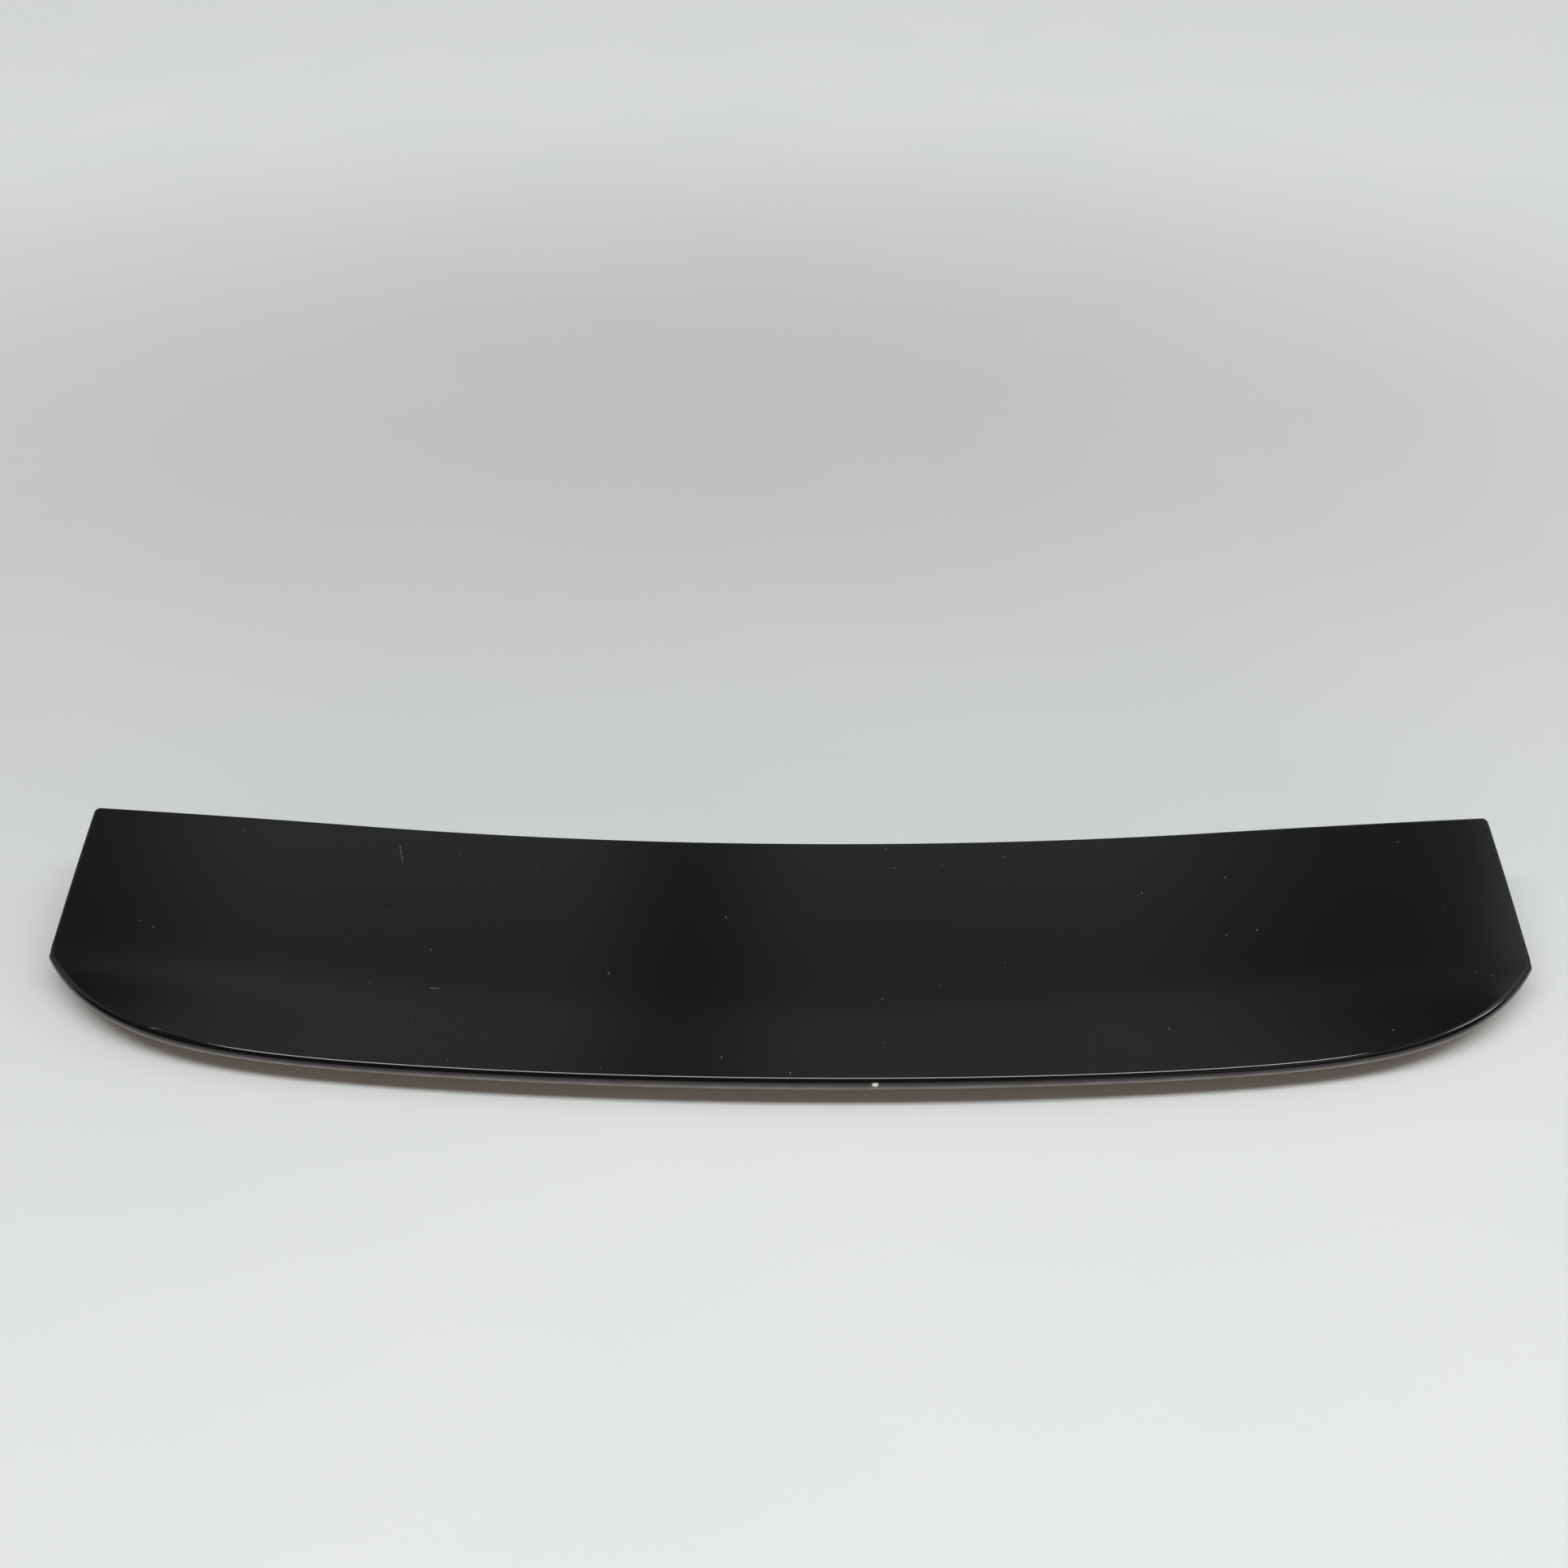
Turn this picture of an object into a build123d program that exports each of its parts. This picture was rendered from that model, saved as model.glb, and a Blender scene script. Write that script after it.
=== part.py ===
from build123d import *
from math import cos, radians, sin, sqrt, tan
import os

os.makedirs("parts", exist_ok=True)

# Frame: +X across the car, +Y towards the roof, +Z up.
# The origin is the middle of the stud pattern, on the plane that the gaskets seat on.

# Plan of the spoiler, seen from above
tail_half_width = 580.0       # centre line to a trailing corner
end_flare = 3.0               # how much nearer the centre line a leading corner is
front_y = 78.0                # leading edge on the centre line
front_bow_radius = 2320.0     # bow of the leading edge
front_sweep_angle = 8.5       # straight outer stretches of the leading edge
lip_y = -120.0                # trailing lip on the centre line
lip_bow = 49.0                # even bow of the lip
lip_tip_sweep = 77.0          # extra sweep that turns the lip into its corners
lip_tip_power = 9             # how late that sweep sets in
front_corner_radius = 5.0
tail_corner_radius = 6.0

# Top surface
crease_setback = 138.0        # leading edge to the soft crease, along Y
crease_height = 28.5          # crease on the centre line
crease_softness = 15.0        # reach of the blend on each side of the crease
main_slope = 23.0             # fall of the main surface at the crease
crown_radius = 1400.0         # crown of the main surface, front to back
tail_slope = 14.0             # fall of the tail behind the crease, on the centre line
tail_tip_slope = 1.0          # the same at the trailing corners
arch = 14.0                   # drop of the whole surface from the centre line to the corners

# Underside
lip_bottom = 2.5              # underside of the lip above the seating plane
tip_rise = 9.0                # rise of the underside at the trailing corners
tip_rise_start = 430.0        # centre line to where that rise begins
front_flange = 13.0           # depth of the turned-down leading edge
relief_angle = 50.0           # slope of the underside behind the leading edge

# Mouldings
skin_wall = 3.0
panel_wall = 2.5
edge_radius = 3.0             # rolled edge all round the top
lip_under_chamfer = 2.5       # broken lower edge of the lip
lip_return = 22.0             # width of the flange turned in under the lip
shell_clearance = 0.3         # play between the skin and the panel inside it

# Mounting studs, their pads and their gaskets
stud_spacing_x = 800.0
stud_spacing_y = 90.0
stud_radius = 3.0
stud_reach = 13.5             # thread below the seating plane
neck_radius = 4.5             # plain neck through the panel
stud_tip_chamfer = 0.8
stud_head_width = 15.0        # square head, held against turning
stud_head_height = 2.5
stud_clearance = 0.1
seat_height = 0.5             # flat boss under each head, above the panel's floor
gasket_height = 3.5
gasket_width = 26.0
gasket_bore_radius = 6.0
pad_width = 30.0

# Locating pins moulded on the panel
pin_spacing = 340.0
pin_y = -15.0
pin_radius = 4.0
pin_length = 10.0             # below the seating plane
pin_taper = 2.0

# Spring clips and the moulded tabs that carry them
clip_inner_x = 80.0
clip_outer_x = 270.0
clip_y = 12.0
tab_width = 10.0
tab_thickness = 2.4
tab_reach = 5.0               # below the seating plane
clip_width = 8.0
clip_sheet = 0.8
clip_leg = 9.0                # leg above the bend
clip_barb = 3.0               # how far each leg springs out
clip_barb_height = 4.0        # where it does so, above the bend
clip_play = 0.1

# Stiffening ribs under the panel
rib_spacing = 50.0
rib_count = 9
rib_thickness = 2.0
rib_depth = 3.0
rib_rear_y = -60.0
rib_front_y = 0.0

# Drain slots through the panel
drain_spacing = 240.0
drain_count = 3
drain_y = -82.0
drain_length = 14.0
drain_width = 4.0

# Foam seal behind the leading edge, and the foam pads at the ends
seal_gap = 6.0                # leading edge to the seal, along Y
seal_width = 9.0
seal_height = 5.0
seal_end_gap = 14.0
end_pad_inset = 32.0          # trailing corner to the pad's middle, along X
end_pad_y = 45.0
end_pad_width = 20.0
end_pad_length = 50.0
end_pad_height = 4.0

# Working sizes
block_depth = 120.0           # construction solids reach this far past the model
front_half_width = tail_half_width - end_flare
station_reach = 1.05          # outermost sections, as a share of the half width
station_count = 13
section_reach = (-150.0, -90.0, -45.0, -15.0, 15.0, 60.0, 110.0, 180.0)
lip_shares = (0.93, 0.84, 0.7, 0.45, 0.0)
least_radius = 0.5            # smallest corner left where a wall takes up the rest
station_step = 2 * station_reach * tail_half_width / (station_count - 1)
stations = [station_step * (index - (station_count - 1) / 2) for index in range(station_count)]


def front_y_at(x):
    """Leading edge in plan: an arc that runs out into two straight stretches."""
    sweep = radians(front_sweep_angle)
    arc_end = front_bow_radius * sin(sweep)
    if abs(x) <= arc_end:
        return front_y + front_bow_radius - sqrt(front_bow_radius**2 - x**2)
    return front_y + front_bow_radius * (1 - cos(sweep)) + (abs(x) - arc_end) * tan(sweep)


def lip_y_at(x):
    """Trailing lip in plan: an even bow, with a late sweep into the corners."""
    share = abs(x) / tail_half_width
    return lip_y + lip_bow * share**2 + lip_tip_sweep * share**lip_tip_power


def top_z_at(x, reach):
    """Top surface at a distance in front of the crease: tail, soft crease and crowned main face."""
    share = x / tail_half_width
    tip_fall = tan(radians(tail_tip_slope))
    tail_fall = tip_fall + (tan(radians(tail_slope)) - tip_fall) * (1 - share**2)
    ahead = (reach + sqrt(reach**2 + crease_softness**2)) / 2
    rise = tail_fall * reach + (tan(radians(main_slope)) - tail_fall) * ahead
    return crease_height - arch * share**2 + rise - ahead**2 / (2 * crown_radius)


def bottom_z_at(x):
    """Underside of the lip: level, then an arc that lifts it towards the corners."""
    run = tail_half_width - tip_rise_start
    return lip_bottom + tip_rise * (max(abs(x) - tip_rise_start, 0) / run) ** 2


def lifted(solid, amount):
    """The underside block moved so that its floor and its front slope both shift by one amount."""
    slope = radians(relief_angle)
    back = amount * (1 - cos(slope)) / sin(slope)
    return solid.moved(Location((0, -back, amount)))


def lip_slope_at(x):
    """Slope of the lip in plan, at or right of the centre line."""
    share = x / tail_half_width
    sweep = lip_tip_power * lip_tip_sweep * share ** (lip_tip_power - 1)
    return (2 * lip_bow * share + sweep) / tail_half_width


def lip_point(x, inset):
    """Point of the lip moved squarely inwards."""
    inwards = Vector(-lip_slope_at(x), 1).normalized()
    return Vector(x, lip_y_at(x)) + inwards * inset


def crossing(start, along, other, beside):
    """Where the line through one point crosses the line through another, in plan."""
    gap = other - start
    return start + along * (gap.cross(beside).Z / along.cross(beside).Z)


def plan_outline(inset):
    """Plan outline of the spoiler, drawn a given distance inside its edge."""
    sweep = radians(front_sweep_angle)
    bow = front_bow_radius + inset
    arc_end = Vector(bow * sin(sweep), front_y + front_bow_radius - bow * cos(sweep))
    tail_corner = Vector(tail_half_width, lip_y_at(tail_half_width))
    end = (Vector(front_half_width, front_y_at(front_half_width)) - tail_corner).normalized()
    end_foot = tail_corner + Vector(-end.Y, end.X) * inset
    front_tip = crossing(arc_end, Vector(cos(sweep), sin(sweep)), end_foot, end)
    lip_end = lip_point(tail_half_width, inset)
    tail_tip = crossing(lip_end, Vector(1, lip_slope_at(tail_half_width)), end_foot, end)
    right = [tail_tip] + [lip_point(share * tail_half_width, inset) for share in lip_shares]
    left = [Vector(-point.X, point.Y) for point in reversed(right[:-1])]
    with BuildSketch() as outline:
        with BuildLine():
            Line((-front_tip.X, front_tip.Y), (-arc_end.X, arc_end.Y))
            ThreePointArc((-arc_end.X, arc_end.Y), (0, front_y - inset), arc_end)
            Polyline(arc_end, front_tip, tail_tip)
            Spline(right + left)
            Line(left[-1], (-front_tip.X, front_tip.Y))
        make_face()
        tail_corners = outline.vertices().group_by(Axis.X)[0] + outline.vertices().group_by(Axis.X)[-1]
        fillet(tail_corners, max(tail_corner_radius - inset, least_radius))
        front_corners = outline.vertices().group_by(Axis.Y)[-1]
        fillet(front_corners, max(front_corner_radius - inset, least_radius))
    return outline.sketch


# The outline at the edge, inside the skin's wall, and inside the play round the panel
plan = plan_outline(0)
inner_plan = plan_outline(skin_wall)
panel_plan = plan_outline(skin_wall + shell_clearance)

# Mouth of the skin: open to its walls, except for the flange turned in under the lip
with BuildSketch() as mouth_plan:
    add(inner_plan)
    add(plan.moved(Location((0, lip_return, 0))), mode=Mode.INTERSECT)

# Everything under the top surface, lofted through sections across the car
with BuildPart() as crown_block:
    for x in stations:
        crease_y = front_y_at(x) - crease_setback
        top = [(crease_y + reach, top_z_at(x, reach)) for reach in section_reach]
        with BuildSketch(Plane.YZ.offset(x)):
            with BuildLine():
                Spline(top)
                Polyline(top[-1], (top[-1][0], -block_depth), (top[0][0], -block_depth), top[0])
            make_face()
    loft()

# Everything under the underside: a floor below the lip and a slope up to the leading edge
with BuildPart() as under_block:
    for x in stations:
        floor_z = bottom_z_at(x)
        flange_z = top_z_at(x, crease_setback) - front_flange
        knee_y = front_y_at(x) - (flange_z - floor_z) / tan(radians(relief_angle))
        peak_y = front_y_at(x) + block_depth
        peak_z = flange_z + block_depth * tan(radians(relief_angle))
        with BuildSketch(Plane.YZ.offset(x)):
            with BuildLine():
                Polyline(
                    (lip_y - block_depth, floor_z),
                    (knee_y, floor_z),
                    (peak_y, peak_z),
                    (peak_y, -block_depth),
                    (lip_y - block_depth, -block_depth),
                    close=True,
                )
            make_face()
    loft()

skin_drop = skin_wall / cos(radians(main_slope))
top_of_model = 2 * block_depth
under_skin = crown_block.part.moved(Location((0, 0, -skin_drop)))
panel_bottom = lifted(under_block.part, skin_wall)
panel_top = lifted(under_block.part, skin_wall + panel_wall)

# Hollow of the skin, above the flange under the lip
with BuildPart() as hollow:
    extrude(inner_plan, amount=top_of_model)
    add(under_skin, mode=Mode.INTERSECT)
    add(panel_bottom, mode=Mode.SUBTRACT)

# Mouth of the skin
with BuildPart() as mouth:
    extrude(mouth_plan.sketch, amount=top_of_model, both=True)
    add(under_skin, mode=Mode.INTERSECT)

# Outer skin: crowned top, rolled edges, end walls, leading flange and lip
with BuildPart() as outer_skin:
    extrude(plan, amount=top_of_model)
    add(crown_block.part, mode=Mode.INTERSECT)
    add(under_block.part, mode=Mode.SUBTRACT)
    fillet(outer_skin.faces().sort_by(SortBy.AREA)[-1].edges(), edge_radius)
    chamfer(outer_skin.faces().sort_by(SortBy.AREA)[-2].edges().sort_by(Axis.Y)[0], lip_under_chamfer)
    add(hollow.part, mode=Mode.SUBTRACT)
    add(mouth.part, mode=Mode.SUBTRACT)
outer_skin.part.label = "outer_skin"
export_step(outer_skin.part, "parts/outer_skin.step")

# Inner panel: the floor and the front slope that close the skin from below
floor_bottom = lip_bottom + skin_wall
floor_middle = floor_bottom + panel_wall / 2
seat_z = floor_bottom + panel_wall + seat_height
stud_places = GridLocations(stud_spacing_x, stud_spacing_y, 2, 2)
pin_places = Locations((-pin_spacing / 2, pin_y), (pin_spacing / 2, pin_y))
clip_places = [(x, clip_y) for x in (-clip_outer_x, -clip_inner_x, clip_inner_x, clip_outer_x)]
rib_middle_y = (rib_rear_y + rib_front_y) / 2
rib_field = rib_spacing * (rib_count - 1) + rib_thickness
with BuildPart() as inner_panel:
    extrude(panel_plan, amount=top_of_model)
    add(under_skin.moved(Location((0, 0, -shell_clearance))), mode=Mode.INTERSECT)
    add(panel_top, mode=Mode.INTERSECT)
    add(panel_bottom, mode=Mode.SUBTRACT)
    with BuildSketch(Plane.XY.offset(gasket_height)):
        with stud_places:
            Rectangle(pad_width, pad_width)
    extrude(amount=seat_z - gasket_height)
    with BuildSketch(Plane.XY.offset(floor_bottom - rib_depth)):
        with Locations((0, rib_middle_y)):
            with GridLocations(rib_spacing, 0, rib_count, 1):
                Rectangle(rib_thickness, rib_front_y - rib_rear_y)
            with GridLocations(0, rib_front_y - rib_rear_y, 1, 2):
                Rectangle(rib_field, rib_thickness)
    extrude(amount=floor_middle - floor_bottom + rib_depth)
    with BuildSketch(Plane.XY.offset(-tab_reach)):
        with Locations(clip_places):
            Rectangle(tab_width, tab_thickness)
    extrude(amount=floor_middle + tab_reach)
    with BuildSketch(Plane.XY.offset(-pin_length)):
        with pin_places:
            Circle(pin_radius)
    extrude(amount=floor_middle + pin_length)
    chamfer(inner_panel.edges().group_by(Axis.Z)[0], pin_taper)
    with stud_places:
        Hole(neck_radius + stud_clearance)
    with BuildSketch(Plane.XY):
        with GridLocations(drain_spacing, 0, drain_count, 1):
            with Locations((0, drain_y)):
                SlotOverall(drain_length, drain_width)
    extrude(amount=top_of_model, both=True, mode=Mode.SUBTRACT)
inner_panel.part.label = "inner_panel"
export_step(inner_panel.part, "parts/inner_panel.step")

# Four studs: a flat head inside the panel, a neck through it and a plain shank for the thread
with BuildPart() as mounting_studs:
    with BuildSketch(Plane.XY.offset(seat_z)):
        with stud_places:
            Rectangle(stud_head_width, stud_head_width)
    extrude(amount=stud_head_height)
    with BuildSketch(Plane.XY.offset(gasket_height)):
        with stud_places:
            Circle(neck_radius)
    extrude(amount=seat_z - gasket_height)
    with BuildSketch(Plane.XY.offset(-stud_reach)):
        with stud_places:
            Circle(stud_radius)
    extrude(amount=stud_reach + gasket_height)
    chamfer(mounting_studs.edges().group_by(Axis.Z)[0], stud_tip_chamfer)
mounting_studs.part.label = "mounting_studs"
export_step(mounting_studs.part, "parts/mounting_studs.step")

# Foam gaskets between the pads and the car
with BuildPart() as stud_gaskets:
    with BuildSketch():
        with stud_places:
            Rectangle(gasket_width, gasket_width)
            Circle(gasket_bore_radius, mode=Mode.SUBTRACT)
    extrude(amount=gasket_height)
stud_gaskets.part.label = "stud_gaskets"
export_step(stud_gaskets.part, "parts/stud_gaskets.step")

# Spring clips: one bent strip on each tab, with a leg that springs out on either side
clip_bend_z = -tab_reach - clip_play - clip_sheet / 2
clip_leg_y = tab_thickness / 2 + clip_play + clip_sheet / 2
with BuildPart() as retaining_clips:
    for x, y in clip_places:
        with BuildSketch(Plane.YZ.offset(x - clip_width / 2)):
            with BuildLine():
                Polyline(
                    (y - clip_leg_y, clip_bend_z + clip_leg),
                    (y - clip_leg_y - clip_barb, clip_bend_z + clip_barb_height),
                    (y - clip_leg_y, clip_bend_z),
                    (y + clip_leg_y, clip_bend_z),
                    (y + clip_leg_y + clip_barb, clip_bend_z + clip_barb_height),
                    (y + clip_leg_y, clip_bend_z + clip_leg),
                )
            trace(line_width=clip_sheet)
        extrude(amount=clip_width)
retaining_clips.part.label = "retaining_clips"
export_step(retaining_clips.part, "parts/retaining_clips.step")

# Foam seal along the leading edge, stuck to the panel's front slope
seal_bottom = lifted(under_block.part, skin_wall - seal_height)
with BuildSketch() as seal_plan:
    add(plan.moved(Location((0, -seal_gap, 0))))
    add(plan.moved(Location((0, -seal_gap - seal_width, 0))), mode=Mode.SUBTRACT)
    Rectangle(2 * (front_half_width - seal_end_gap), 2 * tail_half_width, mode=Mode.INTERSECT)
with BuildPart() as edge_seal:
    extrude(seal_plan.sketch, amount=top_of_model, both=True)
    add(panel_bottom, mode=Mode.INTERSECT)
    add(seal_bottom, mode=Mode.SUBTRACT)
edge_seal.part.label = "edge_seal"
export_step(edge_seal.part, "parts/edge_seal.step")

# Foam pads under the ends of the panel
pad_bottom = lifted(under_block.part, skin_wall - end_pad_height)
with BuildPart() as end_pads:
    with BuildSketch():
        with GridLocations(2 * (tail_half_width - end_pad_inset), 0, 2, 1):
            with Locations((0, end_pad_y)):
                Rectangle(end_pad_width, end_pad_length)
    extrude(amount=top_of_model, both=True)
    add(panel_bottom, mode=Mode.INTERSECT)
    add(pad_bottom, mode=Mode.SUBTRACT)
end_pads.part.label = "end_pads"
export_step(end_pads.part, "parts/end_pads.step")
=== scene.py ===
# %% [markdown]
# # A gloss black tailgate spoiler
# The solids of the spoiler arrive as a finished frame: an outer skin, an inner panel, studs,
# gaskets, clips and foam. This lesson dresses them. The flat facets of a solid spoil a mirror
# finish, so the painted skin is worked out again as a smooth surface; the small parts keep their
# solids and get finishes of their own. Shapes are in millimetres, as on a drawing, and become
# metres only when a mesh is made. Textures, lamps and the camera are in metres.

import bmesh
import bpy
import numpy as np
from mathutils import Matrix, Vector


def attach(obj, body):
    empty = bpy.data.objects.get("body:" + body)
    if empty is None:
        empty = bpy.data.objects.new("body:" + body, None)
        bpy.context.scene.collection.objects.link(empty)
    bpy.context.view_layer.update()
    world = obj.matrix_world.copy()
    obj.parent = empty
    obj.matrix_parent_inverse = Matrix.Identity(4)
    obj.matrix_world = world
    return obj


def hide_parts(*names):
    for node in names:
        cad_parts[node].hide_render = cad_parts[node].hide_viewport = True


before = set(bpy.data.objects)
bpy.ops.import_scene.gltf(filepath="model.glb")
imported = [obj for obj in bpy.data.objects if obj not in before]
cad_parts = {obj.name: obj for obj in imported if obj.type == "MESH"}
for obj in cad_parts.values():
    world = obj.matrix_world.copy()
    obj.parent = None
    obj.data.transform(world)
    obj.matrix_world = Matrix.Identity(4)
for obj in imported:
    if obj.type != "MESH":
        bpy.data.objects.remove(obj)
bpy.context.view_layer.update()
MM = 0.001
BODY = "root"
print("frame nodes:", sorted(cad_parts))

# %% [markdown]
# ## The drawing of the skin
# A spoiler like this is drawn from two plan lines, the leading edge and the trailing lip, and
# from one rule for the height of the top. They could be traced as curves, but repeating the few
# rules keeps the smooth skin on its solid.

# %% Sizes of the skin
TAIL_HALF_WIDTH = 580.0
END_FLARE = 3.0
FRONT_Y = 78.0
FRONT_BOW_RADIUS = 2320.0
FRONT_SWEEP = np.radians(8.5)
LIP_Y = -120.0
LIP_BOW = 49.0
LIP_TIP_SWEEP = 77.0
LIP_TIP_POWER = 9
CREASE_SETBACK = 138.0
CREASE_HEIGHT = 28.5
CREASE_SOFTNESS = 15.0
MAIN_FALL = np.tan(np.radians(23.0))
CROWN_RADIUS = 1400.0
TAIL_FALL = np.tan(np.radians(14.0))
TAIL_TIP_FALL = np.tan(np.radians(1.0))
ARCH = 14.0
LIP_BOTTOM = 2.5
TIP_RISE = 9.0
TIP_RISE_START = 430.0
FRONT_FLANGE = 13.0
RELIEF = np.tan(np.radians(50.0))


def front_line(x):
    """Leading edge in plan: an arc in the middle that runs out into two straight stretches."""
    arc_end = FRONT_BOW_RADIUS * np.sin(FRONT_SWEEP)
    bowed = np.minimum(np.abs(x), arc_end)
    arc = FRONT_BOW_RADIUS - np.sqrt(FRONT_BOW_RADIUS**2 - bowed**2)
    return FRONT_Y + arc + (np.abs(x) - bowed) * np.tan(FRONT_SWEEP)


def lip_line(x):
    """Trailing lip in plan: an even bow (square law) plus a late sweep (ninth power)."""
    share = np.abs(x) / TAIL_HALF_WIDTH
    return LIP_Y + LIP_BOW * share**2 + LIP_TIP_SWEEP * share**LIP_TIP_POWER


def top_height(x, y):
    """Height of the top: the tail's fall up to the crease, the steeper crowned face ahead of it.
    The two falls blend through half of (reach + root(reach squared + softness squared))."""
    share = x / TAIL_HALF_WIDTH
    fall = TAIL_TIP_FALL + (TAIL_FALL - TAIL_TIP_FALL) * (1 - share**2)
    reach = y - front_line(x) + CREASE_SETBACK
    ahead = (reach + np.sqrt(reach**2 + CREASE_SOFTNESS**2)) / 2
    rise = fall * reach + (MAIN_FALL - fall) * ahead - ahead**2 / (2 * CROWN_RADIUS)
    return CREASE_HEIGHT - ARCH * share**2 + rise


def under_height(x, y):
    """Height of the lower edge: level under the lip, lifted at the tips (square law), and the
    higher of that and a straight slope up to the front flange."""
    tip = np.maximum(np.abs(x) - TIP_RISE_START, 0) / (TAIL_HALF_WIDTH - TIP_RISE_START)
    flange = top_height(x, front_line(x)) - FRONT_FLANGE
    return np.maximum(LIP_BOTTOM + TIP_RISE * tip**2, flange - (front_line(x) - y) * RELIEF)


print("leading edge height on the centre line:", round(float(top_height(0.0, FRONT_Y)), 1), "mm")

# %% [markdown]
# ## The outline as one loop
# The skin's edge is the same moulded roll all the way round, so the natural path is the plan
# outline. Only the right half is worked out: half the lip, the tail corner, the end, the front
# corner and half the leading edge. The left half is its mirror image, which keeps both sides alike.

# %% Half outline
LIP_STEPS = 150
CORNER_STEPS = 6
END_STEPS = 56
FRONT_CORNER_RADIUS = 5.0
TAIL_CORNER_RADIUS = 6.0
FINE_POINTS = 4001
END_FINE_POINTS = 801
CORNER_REACH = 400


def plan_normals(points):
    """Outward normals of a plan line that runs anticlockwise: its tangent, a quarter turn right."""
    tangent = np.gradient(points, axis=0)
    normal = np.stack([tangent[:, 1], -tangent[:, 0]], axis=1)
    return normal / np.linalg.norm(normal, axis=1, keepdims=True)


def corner_arc(first, second, radius):
    """Arc that rounds the corner between two plan lines. Its centre lies a radius inside both:
    the first line is moved inwards, and the centre is where it comes that close to the second."""
    along = (second[-1] - second[0]) / np.linalg.norm(second[-1] - second[0])
    inwards = np.array([-along[1], along[0]])
    normals = plan_normals(first)
    shifted = first - normals * radius
    distance = (shifted - second[0]) @ inwards
    order = np.argsort(distance)
    centre = np.array([np.interp(radius, distance[order], shifted[order, axis]) for axis in (0, 1)])
    start = np.array([np.interp(centre[0], shifted[:, 0], normals[:, axis]) for axis in (0, 1)])
    start_angle = np.arctan2(start[1], start[0])
    end_angle = np.arctan2(-inwards[1], -inwards[0])
    angles = np.linspace(start_angle, end_angle, 2 * CORNER_STEPS + 1)
    return centre + radius * np.stack([np.cos(angles), np.sin(angles)], axis=1)


fine_x = np.linspace(0, TAIL_HALF_WIDTH, FINE_POINTS)
lip_fine = np.stack([fine_x, lip_line(fine_x)], axis=1)
front_half_width = TAIL_HALF_WIDTH - END_FLARE
front_corner = np.array([front_half_width, front_line(front_half_width)])
end_fine = np.linspace(lip_fine[-1], front_corner, END_FINE_POINTS)
front_fine_x = np.linspace(front_half_width, 0, FINE_POINTS)
front_fine = np.stack([front_fine_x, front_line(front_fine_x)], axis=1)

tail_arc = corner_arc(lip_fine, end_fine, TAIL_CORNER_RADIUS)
front_arc = corner_arc(end_fine, front_fine[:CORNER_REACH], FRONT_CORNER_RADIUS)
lip_x = np.linspace(0, tail_arc[0, 0], LIP_STEPS + 1)
front_x = np.linspace(front_arc[-1, 0], 0, LIP_STEPS + 1)
half_lip = np.stack([lip_x, lip_line(lip_x)], axis=1)
half_front = np.stack([front_x, front_line(front_x)], axis=1)
half_end = np.linspace(tail_arc[-1], front_arc[0], END_STEPS + 1)
half = np.concatenate([half_lip, tail_arc[1:], half_end[1:], front_arc[1:], half_front[1:]])
half_normal = plan_normals(half)
half_normal[0] = (0, -1)
half_normal[-1] = (0, 1)
mirror = np.array([-1.0, 1.0])
loop = np.concatenate([half, (half * mirror)[-2:0:-1]])
loop_normal = np.concatenate([half_normal, (half_normal * mirror)[-2:0:-1]])
print("outline points:", len(loop), "width:", round(float(np.ptp(loop[:, 0])), 1), "mm")

# %% [markdown]
# ## The edge as a profile carried round the loop
# At the edge a section of the skin goes over the roll, down the wall, round the lower edge, in
# under the lip, and back up inside the wall. Each of those points is a distance along the outline's
# normal and a height, so the whole edge is one grid: profile rows by outline columns. The roll
# starts where it is tangent to the top, so a reflection runs over it without a break. A bevel
# would be quicker, but it can't change its radius from the ends to the lip.

# %% Outer edge rows
ROLL_STEPS = 12
WALL_STEPS = 4
LOWER_ROLL_STEPS = 10
EDGE_RADIUS = 3.0
LIP_RADIUS = 5.0
LOWER_RADIUS = 5.0
TRIM_RADIUS = 0.6
LOWER_SHARE = 0.8
LIP_ZONE = 8.0
LIP_FADE = 6.0
SLOPE_STEP = 0.5

on_lip = np.clip((lip_line(loop[:, 0]) + LIP_ZONE - loop[:, 1]) / LIP_FADE, 0, 1)
edge_radius = EDGE_RADIUS + (LIP_RADIUS - EDGE_RADIUS) * on_lip
inner = loop - loop_normal * edge_radius[:, None]
outwards = inner + loop_normal * SLOPE_STEP
slope = (top_height(*outwards.T) - top_height(*inner.T)) / SLOPE_STEP
lean = np.arctan(-slope)
tangent_points = loop + loop_normal * (edge_radius * np.sin(lean) - edge_radius)[:, None]
roll_centre = top_height(*tangent_points.T) - edge_radius * np.cos(lean)
lower = under_height(*loop.T)
lower_radius = TRIM_RADIUS + (LOWER_RADIUS - TRIM_RADIUS) * on_lip
lower_radius = np.minimum(lower_radius, (roll_centre - lower) * LOWER_SHARE)

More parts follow.
